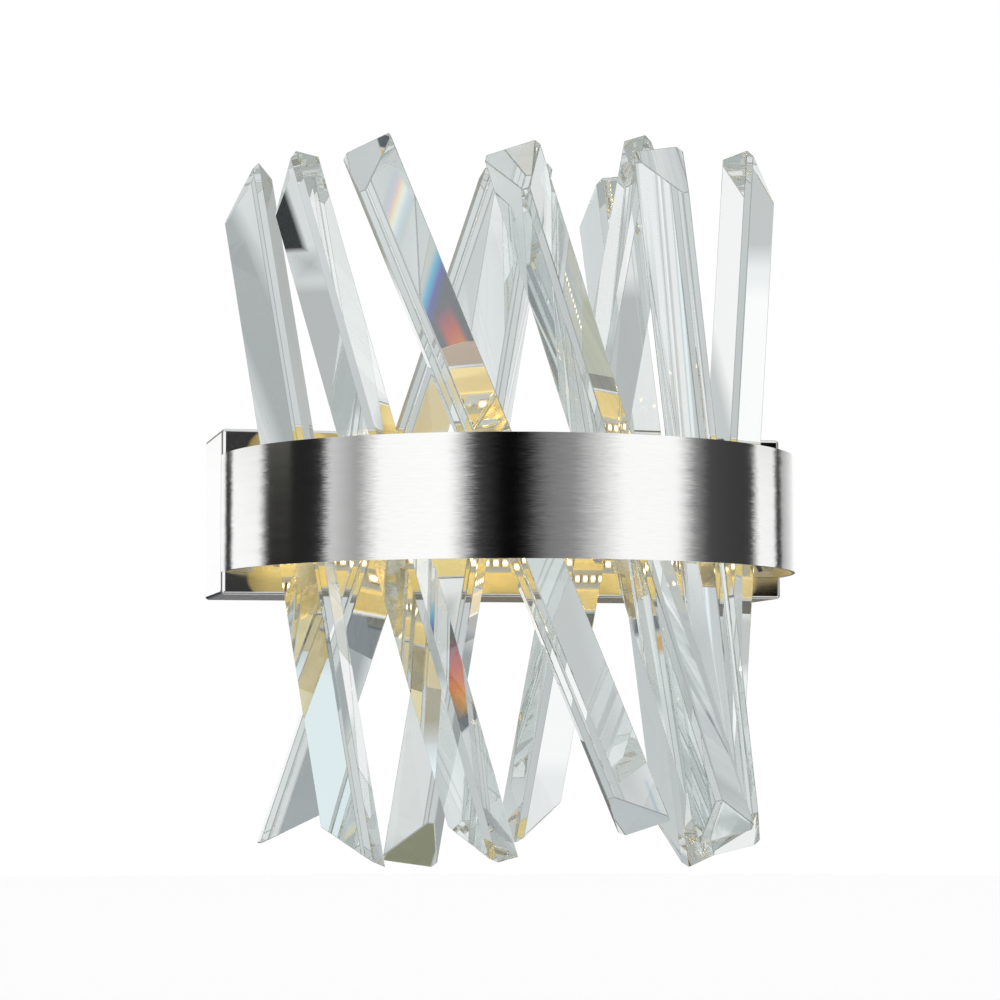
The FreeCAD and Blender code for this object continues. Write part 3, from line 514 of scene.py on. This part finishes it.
# ---- which finish goes where -------------------------------------------------------------------------
FINISHES = {
    "brushed_nickel": brushed("brushed nickel", (0.90, 0.90, 0.895)),
    "zinc_sheet": plated("zinc sheet", (0.86, 0.86, 0.85), roughness=0.28, glow=GLOW_LEVEL),
    "screw_steel": plated("screw steel", (0.66, 0.66, 0.66), roughness=0.32, spangle=900.0),
    "post_brass": plated("turned brass", (0.86, 0.68, 0.36), roughness=0.25, spangle=900.0),
    "pin_steel": plated("pin steel", (0.78, 0.78, 0.78), roughness=0.15, spangle=900.0),
    "crystal": cut_glass("crystal"),
    "clear_nylon": moulded("clear nylon", (0.80, 0.80, 0.78)),
    "lamp_board": moulded("lamp board", (0.86, 0.85, 0.80), roughness=0.3),
    "lamp_phosphor": lit_lamp("lamp"),
    "driver_case": moulded("driver case", (0.78, 0.78, 0.76)),
    "circuit_board": moulded("circuit board", (0.06, 0.25, 0.11), roughness=0.3),
    "driver_parts": moulded("driver parts", (0.09, 0.09, 0.10), roughness=0.4),
    "terminal_plastic": moulded("terminal plastic", (0.76, 0.75, 0.70)),
    "black_rubber": moulded("black rubber", (0.035, 0.035, 0.035), roughness=0.6),
    "white_lead": moulded("white lead", (0.78, 0.78, 0.76), roughness=0.5),
    "grey_lead": moulded("grey lead", (0.30, 0.30, 0.31), roughness=0.5),
    "earth_lead": moulded("earth lead", (0.12, 0.42, 0.08), roughness=0.5),
}
SHADED_EDGE_GLASS = cut_glass("crystal edge", EDGE_SHADE_TINT, EDGE_ROUGHNESS)
SLOTS = {part["node"]: part["material_slot"] for part in frame["record"]["subparts"]}


def dress(name, node):
    """Gives a node the finish that its slot names."""
    for holder in node.material_slots:
        holder.material = FINISHES[SLOTS[name]]


# ---- prisms ----------------------------------------------------------------------------------------
def polished_crystal(name, node):
    """A prism as it is cut, with its edges polished to narrow facets."""
    shape = bmesh.new()
    shape.from_mesh(node.data)
    bmesh.ops.remove_doubles(shape, verts=shape.verts, dist=WELD_DISTANCE)
    bmesh.ops.dissolve_limit(shape, angle_limit=math.radians(LEVEL_FACES), verts=shape.verts,
                             edges=shape.edges)
    sharp = [edge for edge in shape.edges if len(edge.link_faces) == 2 and edge.calc_length() > SHORT_EDGE
             and edge.calc_face_angle() > math.radians(SHARP_EDGE)]
    bmesh.ops.bevel(shape, geom=sharp, offset=EDGE_WIDTH, offset_type="WIDTH", segments=EDGE_FACETS,
                    profile=0.5, affect="EDGES", clamp_overlap=True, material=1)
    mesh = bpy.data.meshes.new(name + "_polished")
    shape.to_mesh(mesh)
    shape.free()
    mesh.materials.append(FINISHES["crystal"])
    # the edge facets take the grey glass: painted shade along the edges
    mesh.materials.append(SHADED_EDGE_GLASS)
    piece = bpy.data.objects.new(name + "_polished", mesh)
    bpy.context.scene.collection.objects.link(piece)
    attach(piece, "root")
    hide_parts(name)


# ---- studio ----------------------------------------------------------------------------------------
def screened(t, colour, way, screens):
    """Puts soft-edged screens before what is seen from each direction."""
    left = t.math("ARCTAN2", t.math("MULTIPLY", way[0], -1.0), way[1])
    rise = t.math("ARCSINE", way[2])
    place = t.scaled(t.join(left, rise, 0.0), math.degrees(1.0))
    for aside, up, half_width, half_height, soft, lean, paint in screens:
        spot = t.vector("SUBTRACT", place, (aside, up, 0.0))
        if lean:
            spot = t.add("ShaderNodeVectorRotate", {"Vector": spot, "Angle": math.radians(-lean)},
                         rotation_type="Z_AXIS")
        inside = t.split(t.vector("MULTIPLY_ADD", t.vector("ABSOLUTE", spot), (-1.0 / soft,) * 3,
                                  (half_width / soft, half_height / soft, 1.0)))
        cover = t.math("MINIMUM", inside[0], inside[1], clamp=True)
        if isinstance(paint, list):
            paint = t.ramp(t.math("MULTIPLY_ADD", t.split(spot)[0], 0.5 / half_width, 0.5), paint)
        colour = t.mix(cover, colour, paint)
    return colour


def glass_studio(t, direction, way):
    """The colour that the glass shows from each direction."""
    broad = t.noise(direction, scale=3.0, detail=1.5, roughness=0.4)
    fine = t.noise(t.vector("MULTIPLY", direction, STREAK_SCALE), detail=1.5)
    colour = t.ramp(t.spread(fine, STREAK_LEVEL, broad), STUDIO_GREYS)
    return screened(t, colour, way, SCREENS)


def metal_studio(t, way):
    """The colour that the metal mirrors from each direction."""
    turn = t.math("ARCTAN2", way[0], t.math("MULTIPLY", way[1], -1.0))
    turn = t.math("MULTIPLY_ADD", turn, 0.5 / math.pi, 0.5)
    level = t.ramp(turn, [((angle + 180) / 360, linear(grey) * STRIPE_GAIN)
                          for angle, grey in STUDIO_STRIPES])
    top = t.math("MULTIPLY_ADD", t.math("ABSOLUTE", way[2]), TOP_SHARPNESS, -TOP_SHARPNESS * TOP_FROM,
                 clamp=True)
    return screened(t, t.mix(top, level, TOP_GREY), way, METAL_SCREENS)


def studio():
    """White for the camera; light and dark screens all round for metal and glass."""
    world = bpy.data.worlds.new("studio")
    bpy.context.scene.world = world
    t = Tree(world)
    direction = t.add("ShaderNodeTexCoord", out=0)
    way = t.split(direction)
    path = t.path()
    on_metal = t.add("ShaderNodeBackground", {"Color": metal_studio(t, way), "Strength": 1.0})
    through_glass = t.add("ShaderNodeBackground", {"Color": glass_studio(t, direction, way),
                                                   "Strength": 1.0})
    plain = t.add("ShaderNodeBackground", {"Color": opaque(WHITE), "Strength": 1.0})
    seen = t.mix_shader(path["Is Transmission Ray"], on_metal, through_glass)
    white = t.math("MAXIMUM", path["Is Camera Ray"], path["Is Diffuse Ray"])
    t.finish(t.mix_shader(white, seen, plain), kind="ShaderNodeOutputWorld")


def floor():
    """A wide pale floor well below the lamp, white to the camera but for the soft shadow.

    Glass and metal show the studio's screens in its place.
    """
    mesh = bpy.data.meshes.new("floor")
    turns = [math.radians(k * 360 / FLOOR_SIDES) for k in range(FLOOR_SIDES)]
    ring = [Vector((FLOOR_RADIUS * math.cos(a), FLOOR_RADIUS * math.sin(a), FLOOR_Z)) for a in turns]
    mesh.from_pydata(ring, [], [list(range(FLOOR_SIDES))])
    item = bpy.data.objects.new("floor", mesh)
    bpy.context.scene.collection.objects.link(item)
    material = bpy.data.materials.new("floor")
    t = Tree(material)
    path = t.path()
    colour = t.mix(path["Is Camera Ray"], (0.8, 0.8, 0.8), WHITE)
    pale = t.add("ShaderNodeBsdfDiffuse", {"Color": colour})
    clear = t.add("ShaderNodeBsdfTransparent")
    past = t.math("MAXIMUM", path["Is Transmission Ray"], path["Is Glossy Ray"])
    t.finish(t.mix_shader(past, pale, clear))
    mesh.materials.append(material)


def camera():
    """The photograph's camera, fitted to the edges of the band and the box."""
    data = bpy.data.cameras.new("camera")
    data.sensor_width = CAMERA_SENSOR
    data.lens = CAMERA_LENS
    data.clip_start = 0.01
    data.dof.use_dof = False
    item = bpy.data.objects.new("camera", data)
    yaw, pitch, roll = [math.radians(v) for v in (CAMERA_YAW, CAMERA_PITCH, CAMERA_ROLL)]
    ahead = Vector((math.sin(yaw) * math.cos(pitch), math.cos(yaw) * math.cos(pitch), math.sin(pitch)))
    right = Vector((math.cos(yaw), -math.sin(yaw), 0.0))
    up = right.cross(ahead)
    right, up = (right * math.cos(roll) + up * math.sin(roll), up * math.cos(roll) - right * math.sin(roll))
    turned = Matrix((right, up, -ahead)).transposed().to_4x4()
    item.matrix_world = Matrix.Translation(CAMERA_PLACE) @ turned
    bpy.context.scene.collection.objects.link(item)
    bpy.context.scene.camera = item


def render_settings():
    scene = bpy.context.scene
    for kind in ("max_bounces", "glossy_bounces", "transmission_bounces", "transparent_max_bounces"):
        setattr(scene.cycles, kind, BOUNCES)
    scene.view_settings.view_transform = "Standard"


for name, node in nodes.items():
    dress(name, node)
for name, node in list(nodes.items()):
    if SLOTS[name] == "crystal":
        polished_crystal(name, node)
floor()
studio()
camera()
render_settings()
